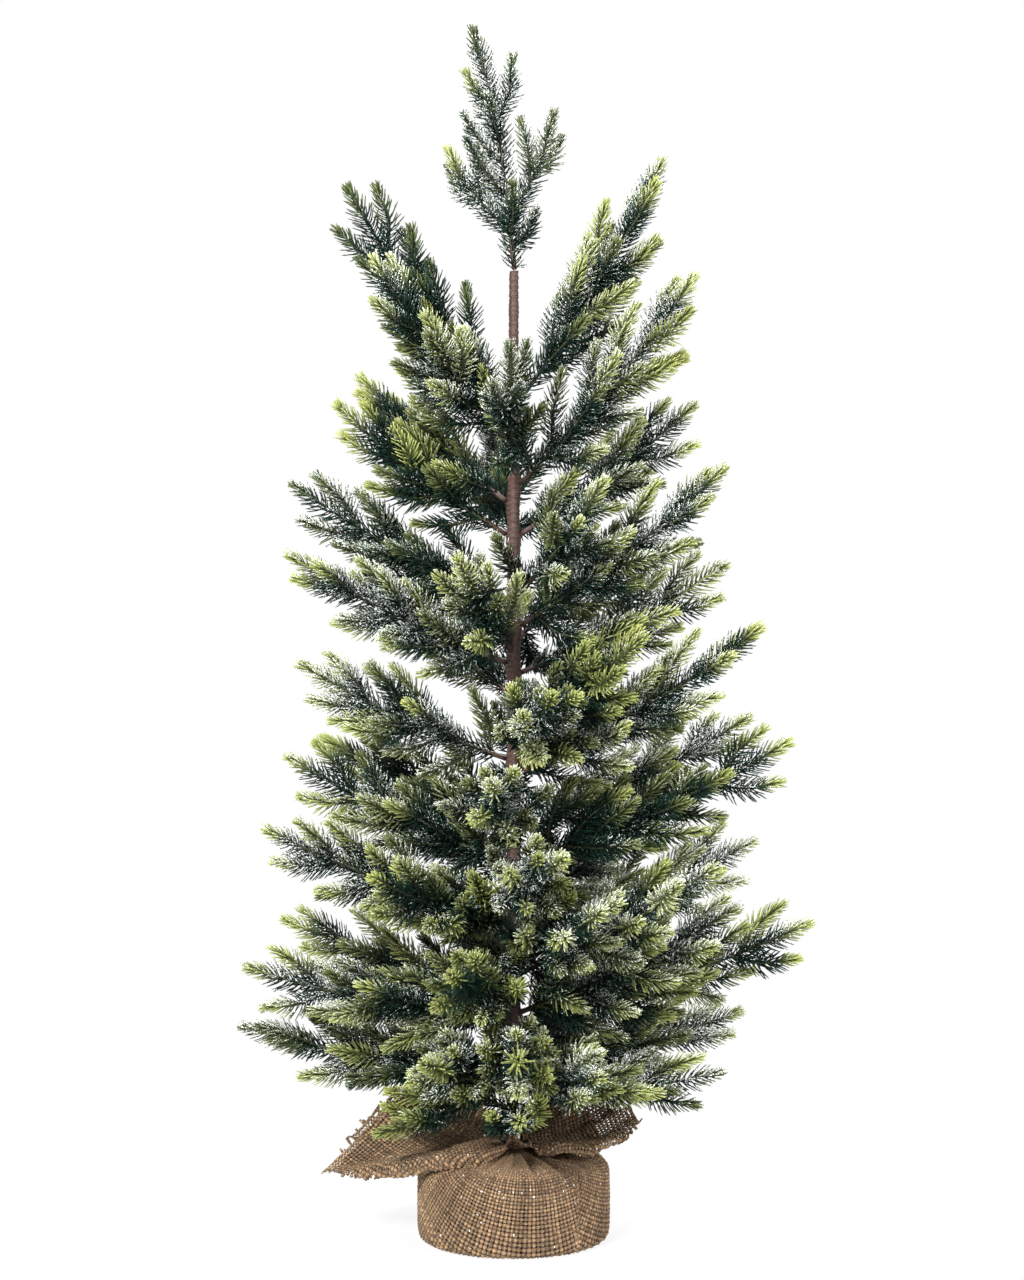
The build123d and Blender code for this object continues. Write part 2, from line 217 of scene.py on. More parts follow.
def node_rods(node):
    """A branch node's straight rods as (start, end), thick end first, and its elbow's centre."""
    points, edges = node_points(node)
    _, same = np.unique(np.round(points, 3), axis=0, return_inverse=True)
    same = same.ravel()
    places = np.zeros((same.max() + 1, 3))
    places[same] = points
    labels = np.arange(len(places))
    a, b = same[edges[:, 0]], same[edges[:, 1]]
    while True:
        low = np.minimum(labels[a], labels[b])
        new = labels.copy()
        np.minimum.at(new, a, low)
        np.minimum.at(new, b, low)
        new = new[new]
        if (new == labels).all():
            break
        labels = new
    rods, elbow = [], None
    for label in np.unique(labels):
        cloud = places[labels == label]
        middle = cloud.mean(0)
        axis = np.linalg.svd(cloud - middle, full_matrices=False)[2][0]
        along = (cloud - middle) @ axis
        if np.ptp(along) < ELBOW_SIZE:
            elbow = middle
            continue
        ends = []
        for end in (along.min(), along.max()):
            ring = cloud[np.abs(along - end) < 0.05]
            centre = (ring.min(0) + ring.max(0)) / 2
            centre = middle + axis * end if len(ring) < 3 else ring.mean(0)
            ends.append((np.linalg.norm(ring - centre, axis=1).max(), centre))
        ends.sort(key=lambda e: -e[0])
        rods.append((ends[0][1], ends[1][1]))
    return rods, elbow


def distance_to(path, point):
    """How far a point is from a polyline."""
    gaps = []
    for a, b in zip(path, path[1:]):
        span = b - a
        share = np.clip((point - a) @ span / (span @ span), 0.0, 1.0)
        gaps.append(np.linalg.norm(point - (a + span * share)))
    return min(gaps)


def grown_shoots(rods, elbow):
    """The branch's shoots as smooth curves: the main stem first, then each side twig from its foot."""
    left = list(rods)
    shoots = []
    start = min(left, key=lambda r: np.linalg.norm(r[0] - elbow))
    while left:
        left = [r for r in left if r is not start]
        path = [start[0], start[1]]
        while True:
            after = [r for r in left if np.linalg.norm(r[0] - path[-1]) < ROD_GAP]
            if not after:
                break
            left = [r for r in left if r is not after[0]]
            path[-1] = (path[-1] + after[0][0]) / 2
            path.append(after[0][1])
        if shoots:
            back = unit(path[0] - path[1])
            reaches = np.arange(0.0, FOOT_GAP, 0.5)
            gaps = [(distance_to(p, path[0] + back * reach), reach) for p in shoots for reach in reaches]
            path[0] = path[0] + back * min(gaps)[1]
        shoots.append(path)
        if left:
            start = min(left, key=lambda r: min(distance_to(p, r[0]) for p in shoots))
    return shoots


def smooth_curve(path, step=1.5):
    """Points about a step apart on a Catmull-Rom curve through the path's corners."""
    path = [np.asarray(p, dtype=float) for p in path]
    full = [2 * path[0] - path[1]] + path + [2 * path[-1] - path[-2]]
    out = []
    for p0, p1, p2, p3 in zip(full, full[1:], full[2:], full[3:]):
        count = max(2, int(np.linalg.norm(p2 - p1) / step))
        t = (np.arange(count) / count)[:, None]
        out.append(0.5 * (2 * p1 + (p2 - p0) * t + (2 * p0 - 5 * p1 + 4 * p2 - p3) * t**2
                          + (3 * p1 - p0 - 3 * p2 + p3) * t**3))
    out.append(path[-1][None])
    return np.concatenate(out)


# ---- node-built materials
class Nodes:
    """The node tree of a material or a world, with short calls for what they share."""

    def __init__(self, owner):
        owner.use_nodes = True
        self.owner = owner
        self.tree = owner.node_tree
        self.shader = self.tree.nodes.get("Principled BSDF")

    def add(self, kind, **settings):
        node = self.tree.nodes.new(kind)
        for key, value in settings.items():
            setattr(node, key, value)
        return node

    def link(self, source, target):
        self.tree.links.new(source, target)

    def put(self, node, name, value):
        """Set an input by name: a link for a socket, or else a plain value."""
        if isinstance(value, bpy.types.NodeSocket):
            self.link(value, node.inputs[name])
        else:
            node.inputs[name].default_value = value

    def noise(self, scale, detail=3.0, rough=0.5):
        place = self.add("ShaderNodeTexCoord")
        node = self.add("ShaderNodeTexNoise")
        self.link(place.outputs["Object"], node.inputs["Vector"])
        self.put(node, "Scale", scale)
        self.put(node, "Detail", detail)
        self.put(node, "Roughness", rough)
        return node.outputs["Fac"]

    def mix(self, factor, a, b, blend="MIX"):
        node = self.add("ShaderNodeMix", data_type="RGBA", blend_type=blend)
        for index, value in ((0, factor), (6, a), (7, b)):
            if isinstance(value, bpy.types.NodeSocket):
                self.link(value, node.inputs[index])
            elif index == 0:
                node.inputs[index].default_value = value
            else:
                node.inputs[index].default_value = (*value, 1.0)
        return node.outputs[2]

    def math(self, operation, a, b=0.0):
        node = self.add("ShaderNodeMath", operation=operation)
        for index, value in ((0, a), (1, b)):
            if isinstance(value, bpy.types.NodeSocket):
                self.link(value, node.inputs[index])
            else:
                node.inputs[index].default_value = value
        return node.outputs[0]

    def ramp(self, value, low, high, to_low=0.0, to_high=1.0):
        node = self.add("ShaderNodeMapRange", interpolation_type="SMOOTHSTEP")
        self.link(value, node.inputs["Value"])
        self.put(node, "From Min", low)
        self.put(node, "From Max", high)
        self.put(node, "To Min", to_low)
        self.put(node, "To Max", to_high)
        return node.outputs["Result"]

    def tint(self):
        """The red, green, blue and alpha of the points' colours."""
        node = self.add("ShaderNodeAttribute", attribute_name="tint")
        split = self.add("ShaderNodeSeparateColor")
        self.link(node.outputs["Color"], split.inputs["Color"])
        return split.outputs["Red"], split.outputs["Green"], split.outputs["Blue"], node.outputs["Alpha"]

    def seen_directly(self):
        """1 for rays from the camera, and for mirrored or refracted ones."""
        path = self.add("ShaderNodeLightPath")
        total = path.outputs["Is Camera Ray"]
        for other in ("Is Glossy Ray", "Is Transmission Ray"):
            total = self.math("MAXIMUM", total, path.outputs[other])
        return total

    def finished(self, colour, rough, height, depth, strength=0.6):
        """The material, with its colour, its roughness and a bump that is depth metres deep."""
        self.put(self.shader, "Base Color", colour)
        self.put(self.shader, "Roughness", rough)
        node = self.add("ShaderNodeBump")
        self.put(node, "Strength", strength)
        self.put(node, "Distance", depth)
        self.link(height, node.inputs["Height"])
        self.link(node.outputs["Normal"], self.shader.inputs["Normal"])
        return self.owner


def material_nodes(name):
    """The node tree of a new material."""
    return Nodes(bpy.data.materials.new(name))


def needle_material():
    """Moulded needles: blue-green, yellow-green where new, white where the flock lies."""
    n = material_nodes("needle_plastic")
    new, along, chance, flock = n.tint()
    grain = n.noise(1200.0, 3.0, 0.6)
    green = n.mix(along, (0.001, 0.004, 0.003), (0.009, 0.030, 0.018))
    green = n.mix(n.ramp(chance, 0.5, 1.0, 0.0, 0.7), green, (0.008, 0.029, 0.024))
    fresh = n.mix(along, (0.055, 0.085, 0.014), (0.50, 0.54, 0.175))
    colour = n.mix(new, green, fresh)
    speckle = n.ramp(grain, 0.36, 0.64, 0.0, 0.75)
    dusting = n.ramp(n.math("ADD", n.math("MULTIPLY", flock, 0.92), speckle), 0.86, 0.96)
    colour = n.mix(dusting, colour, (0.86, 0.90, 0.84))
    n.put(n.shader, "Specular IOR Level", 0.1)
    return n.finished(colour, n.ramp(dusting, 0.0, 1.0, 0.48, 0.92), grain, 0.0004, 0.5)


def flock_material():
    """Loose clots of white flock."""
    n = material_nodes("flock")
    grain = n.noise(900.0, 2.0)
    return n.finished(n.mix(grain, (0.74, 0.77, 0.74), (0.90, 0.91, 0.89)), 0.95, grain, 0.0003, 0.7)


def stem_material():
    """Stems: dark tape near the trunk, then moulded plastic between brown and green."""
    n = material_nodes("stem_tape_and_plastic")
    taped, _, _, flock = n.tint()
    grain = n.noise(340.0, 4.0)
    plastic = n.mix(grain, (0.030, 0.045, 0.020), (0.075, 0.080, 0.038))
    tape = n.mix(grain, (0.030, 0.014, 0.010), (0.085, 0.045, 0.032))
    colour = n.mix(taped, plastic, tape)
    dusting = n.ramp(n.math("ADD", flock, n.math("MULTIPLY", grain, 0.5)), 0.7, 1.0)
    colour = n.mix(dusting, colour, (0.72, 0.74, 0.70))
    return n.finished(colour, n.ramp(grain, 0.3, 0.7, 0.5, 0.75), grain, 0.0005)


def tape_material():
    """Waxed crepe tape on the trunk, with a painted highlight along the raised edge of each turn."""
    n = material_nodes("trunk_tape")
    edge, _, _, flock = n.tint()
    crepe = n.noise(700.0, 5.0, 0.65)
    blotch = n.noise(60.0, 3.0)
    colour = n.mix(crepe, (0.020, 0.009, 0.007), (0.085, 0.040, 0.030))
    # Painted highlight along the raised edge of each turn.
    colour = n.mix(n.math("MULTIPLY", edge, 0.75), colour, (0.150, 0.085, 0.066))
    colour = n.mix(n.ramp(blotch, 0.5, 0.8, 0.0, 0.4), colour, (0.120, 0.060, 0.048))
    dusting = n.ramp(n.math("ADD", flock, n.math("MULTIPLY", crepe, 0.5)), 0.80, 1.0)
    colour = n.mix(dusting, colour, (0.66, 0.66, 0.63))
    return n.finished(colour, n.ramp(crepe, 0.3, 0.7, 0.45, 0.7), crepe, 0.0006)


def jute_material(name, dark, light, pale):
    """Jute yarn: fine fibres, uneven colour, painted shade between the crossings, and a little flock."""
    n = material_nodes(name)
    chance, proud, _, flock = n.tint()
    fibre = n.noise(1500.0, 5.0, 0.7)
    patch = n.noise(45.0, 3.0)
    colour = n.mix(n.ramp(chance, 0.0, 1.0), dark, light)
    colour = n.mix(n.ramp(fibre, 0.40, 0.80, 0.0, 0.8), colour, pale)
    # Painted shade: threads turn towards their dark tone away from the crossings, where they dip under their
    # neighbours.
    colour = n.mix(n.ramp(proud, 0.1, 0.95, 0.9, 0.0), colour, dark)
    colour = n.mix(n.ramp(patch, 0.35, 0.75, 0.0, 0.35), colour, dark)
    dusting = n.ramp(n.math("ADD", flock, n.math("MULTIPLY", fibre, 0.4)), 0.92, 1.06)
    colour = n.mix(dusting, colour, (0.84, 0.84, 0.82))
    n.put(n.shader, "Sheen Weight", 0.05)
    n.put(n.shader, "Sheen Roughness", 0.5)
    return n.finished(colour, 0.88, fibre, 0.0007, 0.8)


def plain_solid_material(name, dark, light, rough, metallic=0.0):
    """For the hidden inner pieces: two tones of one colour, with a fine grain."""
    n = material_nodes(name)
    grain = n.noise(120.0, 6.0, 0.6)
    n.put(n.shader, "Metallic", metallic)
    uneven = n.ramp(grain, 0.2, 0.8, rough - 0.08, rough + 0.08)
    return n.finished(n.mix(grain, dark, light), uneven, grain, 0.0006)


# ---- needles and stems
NEEDLE_RINGS = np.array([0.0, 0.46, 0.90])    # shares of a needle's length
NEEDLE_SWELL = np.array([0.75, 1.0, 0.80])    # its width at them
CROWN_NEEDLES = 14           # close together at a shoot's tip
YOUNG_LENGTH = 22.0          # of a shoot's tip, where needles are shorter and lie closer to it


def needle_places(curve, radius, rng, start, new_length, new_strength, frost, scale):
    """Where the needles of one shoot stand: foot, directions, length, newness and flock."""
    tangents, sides, _ = curve_frames(curve)
    run = run_along(curve)
    length = run[-1]
    whorls = int((length - start) / WHORL_PITCH)
    whorl = np.repeat(np.arange(whorls), WHORL_NEEDLES)
    count = len(whorl)
    s = np.clip(start + whorl * WHORL_PITCH + rng.uniform(-0.35, 0.35, count), 0.0, length)
    s = np.concatenate([s, length - rng.uniform(0.0, 1.2, CROWN_NEEDLES)])
    count += CROWN_NEEDLES
    foot = np.stack([np.interp(s, run, curve[:, k]) for k in range(3)], -1)
    t = unit(np.stack([np.interp(s, run, tangents[:, k]) for k in range(3)], -1))
    side = unit(np.stack([np.interp(s, run, sides[:, k]) for k in range(3)], -1))
    up = np.cross(side, t)
    step = 2 * math.pi / WHORL_NEEDLES
    turn = np.arange(count) * step + np.concatenate([whorl, np.arange(CROWN_NEEDLES)]) * step / 2
    turn = turn + s * rng.uniform(-0.02, 0.02) + rng.uniform(0, 6.28) + rng.uniform(-0.2, 0.2, count)
    radial = side * np.cos(turn)[:, None] + up * np.sin(turn)[:, None]
    to_tip = length - s
    grown = smooth_step(to_tip / YOUNG_LENGTH)
    angle = TIP_NEEDLE_ANGLE + (NEEDLE_ANGLE - TIP_NEEDLE_ANGLE) * grown + rng.uniform(-9, 9, count)
    angle[-CROWN_NEEDLES:] = rng.uniform(3, 40, CROWN_NEEDLES)
    size = NEEDLE_LENGTH * (0.56 + 0.44 * grown) * (0.80 + 0.20 * smooth_step((s - start) / 6.0))
    size = size * scale * rng.uniform(0.86, 1.10, count)
    angle = np.radians(angle)
    lean = t * np.cos(angle)[:, None] + radial * np.sin(angle)[:, None]
    lean = unit(lean + rng.normal(0, 0.05, (count, 3)))
    new = new_strength * smooth_step(1.5 - 1.5 * to_tip / new_length)
    new = np.clip(new + rng.uniform(-0.12, 0.12, count) * (new > 0.02), 0, 1)
    patch = 0.5 + 0.5 * waves(foot, 46.0, SEED + 5)
    flock = frost * (0.45 + 0.55 * smooth_step(0.5 + 0.7 * radial[:, 2])) * (0.40 + 0.95 * patch)
    # Painted shade: less flock next to the trunk, where the tree's inside lies in shade.
    outward = np.hypot(foot[:, 0], foot[:, 1]) + np.maximum(foot[:, 2] - SHADED_INSIDE_TOP, 0.0)
    flock = flock * (0.55 + 0.45 * smooth_step((outward - 12.0) / 50.0))
    flock = np.clip(flock + rng.uniform(-0.22, 0.22, count), 0, 1)
    return {
        "foot": foot + radial * (radius * 0.7), "t": t, "radial": radial, "lean": lean, "size": size,
        "new": new, "flock": flock, "chance": rng.uniform(0, 1, count),
    }


def needle_mesh(p):
    """Points, faces, colours and map cells of flat, tapered, slightly bowed needles."""
    count = len(p["size"])
    across = unit(np.cross(p["lean"], p["radial"]) + 1e-6)
    face = np.cross(across, p["lean"])
    size = p["size"][:, None, None]
    f = NEEDLE_RINGS[None, :, None]
    middle = p["foot"][:, None] + size * (f * p["lean"][:, None] + NEEDLE_BOW * f * f * p["t"][:, None])
    wide = NEEDLE_HALF_WIDTH * NEEDLE_SWELL[None, :, None] * across[:, None]
    thick = NEEDLE_HALF_THICKNESS * NEEDLE_SWELL[None, :, None] * face[:, None]
    rings = np.stack([middle + wide, middle + thick, middle - wide, middle - thick], 2)
    tip = p["foot"] + p["size"][:, None] * (p["lean"] + NEEDLE_BOW * p["t"])
    points = np.concatenate([rings.reshape(count, 12, 3), tip[:, None]], 1)
    quads, tris, quad_cells, tri_cells = [], [], [], []
    for k in range(2):
        for j in range(4):
            ahead = (j + 1) % 4
            quads.append([4 * k + j, 4 * k + ahead, 4 * k + 4 + ahead, 4 * k + 4 + j])
            quad_cells.append([[j, k], [j + 1, k], [j + 1, k + 1], [j, k + 1]])
    for j in range(4):
        tris.append([8 + j, 8 + (j + 1) % 4, 12])
        tri_cells.append([[j, 2], [j + 1, 2], [j + 0.5, 3]])
    base = np.arange(count)[:, None, None] * 13
    quads = (np.array(quads)[None] + base).reshape(-1, 4)
    tris = (np.array(tris)[None] + base).reshape(-1, 3)
    grid = int(math.ceil(math.sqrt(count)))
    corner = np.stack([np.arange(count) % grid, np.arange(count) // grid], -1)[:, None, None, :]
    shape = np.array([4.0, 3.0])
    fill = 0.86
    cells = [((np.array(c, dtype=float)[None] / shape * fill + 0.07 + corner) / grid).reshape(-1, 2)
             for c in (quad_cells, tri_cells)]
    along = np.concatenate([np.repeat(NEEDLE_RINGS, 4), [1.0]])
    out = points - np.concatenate([np.repeat(middle, 4, axis=1), tip[:, None]], 1)
    upward = smooth_step(0.5 + 0.5 * unit(out + 1e-6)[..., 2])
    colours = np.empty((count, 13, 4))
    colours[..., 0] = p["new"][:, None] * (0.75 + 0.25 * along)
    colours[..., 1] = along
    colours[..., 2] = p["chance"][:, None]
    colours[..., 3] = p["flock"][:, None] * (0.35 + 0.65 * upward) * (0.30 + 0.70 * along)
    return points.reshape(-1, 3), quads, tris, colours.reshape(-1, 4), np.concatenate(cells)


def flock_mesh(p, rng):
    """Small eight-sided clots on the upper side of the whitest needles."""
    picks = np.flatnonzero(rng.uniform(0, 1, len(p["size"])) < (p["flock"] - 0.30) * 0.9)
    f = rng.uniform(0.1, 0.95, len(picks))[:, None]
    lean = p["lean"][picks] + NEEDLE_BOW * f * p["t"][picks]
    centre = p["foot"][picks] + p["size"][picks][:, None] * f * lean + np.array([0, 0, 0.25])
    radius = rng.uniform(0.28, 0.62, len(picks))[:, None, None]
    shape = np.array([[1, 0, 0], [0, 1, 0], [-1, 0, 0], [0, -1, 0], [0, 0, 0.7], [0, 0, -0.7]])
    uneven = rng.uniform(0.7, 1.3, (len(picks), 6, 1))
    points = centre[:, None] + shape[None] * uneven * radius
    faces = [[j, (j + 1) % 4, 4] for j in range(4)] + [[(j + 1) % 4, j, 5] for j in range(4)]
    tris = (np.array(faces)[None] + np.arange(len(picks))[:, None, None] * 6).reshape(-1, 3)
    return points.reshape(-1, 3), tris


def height_over_cloth(y):
    """How high a shoot's tip stays so that the burlap's collar can be seen under it."""
    return 80.0 + 0.25 * max(-y, 0.0)


def small_sprigs(curve, rng):
    """Short curved shoots all round a branch's main stem, as lists of three corners."""
    tangents, sides, ups = curve_frames(curve)
    run = run_along(curve)
    length = run[-1]
    sprigs = []
    roll = rng.uniform(0, 6.28)
    s = SPRIG_FIRST
    while s < length * SPRIG_LAST:
        k = int(np.searchsorted(run, s))
        roll += GOLDEN_ANGLE
        s += SPRIG_SPACING * rng.uniform(0.8, 1.2)
        radial = sides[k] * math.cos(roll) + ups[k] * math.sin(roll)
        spread = SPRIG_SPREAD * (1 - smooth_step((s - SPRIG_FIRST) / SPRIG_SETTLE))
        angle = math.radians(SPRIG_ANGLE + spread + rng.uniform(-8, 8))
        way = tangents[k] * math.cos(angle) + radial * math.sin(angle)
        reach = SPRIG_REACH * rng.uniform(0.72, 1.0) * (1 - 0.55 * s / length)
        foot = curve[k]
        middle = foot + way * reach * 0.5
        end = middle + unit(way + tangents[k] * 0.45) * reach * 0.5
        if end[2] < height_over_cloth(end[1]) or math.hypot(end[0], end[1]) < TRUNK_CLEARANCE:
            continue
        sprigs.append([foot, middle, end])
    return sprigs


def bent_twig(path, stem_tip):
    """A straight twig's corners, bent towards its branch's tip and kept clear of the cloth."""
    onward = unit(stem_tip - path[0])
    way = path[1] - path[0]
    tip = path[0] + unit(unit(way) + TWIG_BEND * onward) * np.linalg.norm(way)
    lift = np.clip(height_over_cloth(tip[1]) - tip[2], 0.0, TWIG_LIFT)
    return [path[0], path[0] + way * 0.5, tip + np.array([0.0, 0.0, lift])]


def shoot_stem(curve, main, frost, rng, first):
    """Points, quads, triangles and colours of one stem. A main stem has ridged tape at its foot."""
    radius = STEM_RADIUS if main else TWIG_RADIUS
    run = run_along(curve)
    thick = radius * (1.0 - 0.45 * run / run[-1])
    tint = np.zeros((len(run), STEM_SIDES, 4))
    if main:
        taped = 1.0 - smooth_step((run - TAPED_LENGTH) / 3.0)
        ridge = 0.10 * np.sin(run * 2 * math.pi / 1.9)
        thick = thick + (TAPED_RADIUS - radius + ridge) * taped
        tint[..., 0] = taped[:, None]
    tint[..., 2] = rng.uniform()
    tint[:, 1:4, 3] = frost * 0.6
    points, quads, tris = tube(curve, thick, STEM_SIDES, first)
    return points, quads, tris, tint.reshape(-1, 4)


def build_branch(node, number, materials):
    """Needles, flock and stems of one branch node, which they replace."""
    rng = np.random.default_rng(SEED * 100 + number)
    rods, elbow = node_rods(node)
    shoots = grown_shoots(rods, elbow)
    count = len(shoots)
    mostly_dark = rng.uniform() < 0.2
    stem_curve = smooth_curve([elbow] + shoots[0])
    shoots += small_sprigs(stem_curve, rng)
    leader = node == "top_leader"
    frost_here = rng.uniform(0.55, 0.95) if rng.uniform() < 0.85 else 0.25
    if leader:
        frost_here = 0.95
    places, stems = [], []
    first = 0
    for index, path in enumerate(shoots):
        main = index == 0
        sprig = index >= count
        if main:
            path = [elbow] + path
        elif len(path) == 2:
            path = bent_twig(path, stem_curve[-1])
        curve = smooth_curve(path)
        sway = rng.normal(0, 1.0, 3) * (0.0 if main or sprig else 1.2)
        curve = curve + sway * np.linspace(0, 1, len(curve))[:, None] ** 2
        new_length = rng.uniform(12, 30) if rng.uniform() < 0.8 else rng.uniform(36, 64)
        new_strength = 0.2 if mostly_dark and rng.uniform() < 0.8 else rng.uniform(0.65, 1.0)
        if sprig and rng.uniform() < 0.6:
            new_strength *= 0.4
        frost = np.clip(frost_here + rng.uniform(-0.3, 0.3), 0.05, 1.0)
        start = 2.5
        if main:
            start = 1.0 if leader else 9.0
        radius = STEM_RADIUS if main else TWIG_RADIUS
        scale = LEADER_SIZE if leader else 1.0
        places.append(needle_places(curve, radius, rng, start, new_length, new_strength, frost, scale))
        stems.append(shoot_stem(curve, main, frost, rng, first))
        first += len(stems[-1][0])
    body = body_of(node)
    p = {key: np.concatenate([place[key] for place in places]) for key in places[0]}
    points, quads, tris, colours, cells = needle_mesh(p)
    needles = make_piece(f"{node}_needles", points, quads, tris, materials["needle"], body,
                         colours, cells)
    points, quads, tris, colours = (np.concatenate(x) for x in zip(*stems))
    stem = make_piece(f"{node}_stem", points, quads, tris, materials["stem"], body, colours)
    points, tris = flock_mesh(p, rng)
    make_piece(f"{node}_flock", points, [], tris, materials["flock"], body)
    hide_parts(node)
    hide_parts(node)


def body_of(node):
    """The body that a node belongs to."""
    bodies = frame["record"]["behaviour"]["bodies"]
    return next(body for body, nodes in bodies.items() if node in nodes)


# ---- trunk
# across one turn of tape: share of the turn, height over the CAD surface, how light it is (a painted
# highlight on the raised edge)
TAPE_PROFILE = ((0.0, -0.22, 0), (0.12, 0.10, 1), (0.5, 0.02, 0), (0.88, -0.12, 0), (0.985, -0.24, 0))
TAPE_SIDES = 40
TAPE_BULGE = 1.1             # over a branch's foot


def build_trunk_tape(materials, elbows):
    """Overlapping turns of crepe tape wound up the trunk, bulged over each branch's foot."""
    low, high = (np.array(c) * M_TO_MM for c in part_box("trunk_tape"))
    points, _ = node_points("trunk_tape")
    radius = np.hypot(points[:, 0], points[:, 1])
    outside = radius > 2.0
    heights, radii = points[outside, 2], radius[outside]
    levels = np.unique(np.round(heights, 1))
    skin = np.array([radii[np.abs(heights - z) < 0.3].max() for z in levels])
    turns = int((high[2] - low[2]) / TAPE_PITCH)
    share, rise, light = (np.tile(x, turns) for x in np.array(TAPE_PROFILE).T)
    rows = low[2] + (np.repeat(np.arange(turns), len(TAPE_PROFILE)) + share) * TAPE_PITCH
    angle = np.arange(TAPE_SIDES + 1) * (2 * math.pi / TAPE_SIDES)
    z = rows[:, None] + angle[None, :] / (2 * math.pi) * TAPE_PITCH
    z = np.clip(z + 0.35 * np.sin(z * 0.11), low[2], high[2])
    r = np.interp(z, levels, skin) + rise[:, None] + 0.08 * np.sin(3 * angle + z * 0.07)
    for centre in elbows:
        way = math.atan2(centre[1], centre[0])
        off = (angle[None, :] - way + math.pi) % (2 * math.pi) - math.pi
        near = np.exp(-((off / 0.42) ** 2)) * np.exp(-(((z - centre[2] + 4.0) / 6.5) ** 2))
        r = r + TAPE_BULGE * near
    points = np.stack([r * np.cos(angle), r * np.sin(angle), z], -1)
    width = TAPE_SIDES + 1
    here = np.arange(len(rows) - 1)[:, None] * width + np.arange(TAPE_SIDES)[None]
    quads = np.stack([here, here + 1, here + width + 1, here + width], -1).reshape(-1, 4)
    tint = np.zeros((len(rows), width, 4))
    # Red of the tint: the painted highlight on each turn's raised edge.
    tint[..., 0] = light[:, None]
    tint[..., 3] = 0.25 + 0.25 * waves(points, 30.0, SEED + 9)
    top = points.shape[0] * width
    points = np.concatenate([points.reshape(-1, 3), [[0, 0, high[2] + 0.1]]])
    tint = np.concatenate([tint.reshape(-1, 4), [[0, 0, 0, 0]]])
    last = (len(rows) - 1) * width + np.arange(TAPE_SIDES)
    tris = np.stack([last, last + 1, np.full(TAPE_SIDES, top)], -1)
    piece = make_piece("trunk_tape_winding", points, quads, tris, materials["tape"], "root", tint)
    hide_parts("trunk_tape")


# ---- burlap
# direction seen from above, radius and height of the cloth's edge, sag between the neck and it
COLLAR = np.array([
    (0, 71, 68, 5), (15, 62, 73, 5), (36, 46, 77, 2), (62, 36, 70, 0), (90, 58, 56, -1),
    (122, 40, 68, 0), (150, 64, 80, 5), (166, 78, 72, 4), (176, 92, 57, 1), (183, 106, 43, -2),
    (195, 82, 45, -4), (215, 62, 50, -6), (236, 44, 54, -3), (252, 30, 59, 0), (267, 21, 64, 0),
    (290, 26, 60, 0), (318, 44, 59, -1), (336, 57, 60, 0), (350, 66, 63, 2), (360, 71, 68, 5),
], dtype=float)
PLEATS = 26
SEAM_HEIGHT = 1.1            # of the fold where two runs of cloth meet
SIDE_TWIST = 0.0105          # how fast the weave turns round the drum, radians per millimetre
# where each run of cloth round the drum starts and ends, and where its threads stand upright
PANELS = ((-192.0, -48.0, -78.0), (-48.0, 62.0, 5.0), (62.0, 168.0, 118.0))


def collar_edge(azimuth):
    """Radius, height and sag of the collar's edge in the given directions, in degrees."""
    azimuth = np.mod(azimuth, 360.0)
    index = np.clip(np.searchsorted(COLLAR[:, 0], azimuth, side="right") - 1, 0, len(COLLAR) - 2)
    before, after = COLLAR[index], COLLAR[index + 1]
    share = (azimuth - before[..., 0]) / (after[..., 0] - before[..., 0])
    ease = ((1 - np.cos(math.pi * share)) / 2)[..., None]
    values = before[..., 1:] + (after[..., 1:] - before[..., 1:]) * ease
    return values[..., 0], values[..., 1], values[..., 2]


def drum_profile():
    """The wrapped base's outline from its foot to its neck: run, radius and height."""
    corners = [
        (DRUM_RADIUS - 5.0, 0.9), (DRUM_RADIUS - 1.6, 1.6), (DRUM_RADIUS, 5.5), (DRUM_RADIUS + 0.3, 22.0),
        (DRUM_RADIUS, 38.5), (DRUM_RADIUS - 1.6, 43.2), (DRUM_RADIUS - 6.0, DRUM_TOP + 0.8),
        (38.0, 48.8), (24.0, 50.4), (13.0, 52.0), (NECK_RADIUS, 53.6), (NECK_RADIUS - 0.4, 56.2),
    ]
    curve = smooth_curve([np.array([r, 0.0, z]) for r, z in corners], 1.0)
    return run_along(curve), curve[:, 0], curve[:, 2]


DRUM_RUN, DRUM_R, DRUM_Z = drum_profile()
SIDE_RUN = float(DRUM_RUN[np.argmax(DRUM_Z > SHOULDER_HEIGHT)])


def drum_surface(angle, run):
    """A place on the drum's cloth, for an angle in radians and a run up the outline."""
    r = np.interp(run, DRUM_RUN, DRUM_R)
    z = np.interp(run, DRUM_RUN, DRUM_Z)
    on_top = smooth_step((run - SIDE_RUN + 4.0) / 10.0)
    wander = 1.3 * np.sin(3 * angle) + 0.25 * np.sin(run * 0.12 + 4 * angle)
    fold = np.abs(np.sin(PLEATS / 2 * angle + wander))
    ripple = (1.6 * fold**0.7 - 1.1) * (0.8 + 0.5 * np.sin(5 * angle + 1.0))
    inward = smooth_step((DRUM_RADIUS - r) / 20.0)
    z = z + on_top * (0.6 + 2.0 * inward) * ripple * smooth_step((r - NECK_RADIUS + 3.0) / 12.0)
    r = r + 0.55 * ripple * smooth_step((run - SIDE_RUN + 16.0) / 16.0) * (1 - inward)
    r = r + 0.45 * np.sin(2 * angle + 0.6) * smooth_step(run / 12.0) * (1 - on_top)
    for start, _, _ in PANELS:
        off = (angle - math.radians(start) + math.pi) % (2 * math.pi) - math.pi
        ridge = np.where(off < 0, np.exp(-((off / 0.16) ** 2)), -0.6 * np.exp(-((off / 0.05) ** 2)))
        r = r + SEAM_HEIGHT * ridge * smooth_step((run - 14.0) / 30.0) * (1 - inward)
    return np.stack([r * np.cos(angle), r * np.sin(angle), z], -1)


CURL_RADIUS = 2.6            # of the collar's rolled edge


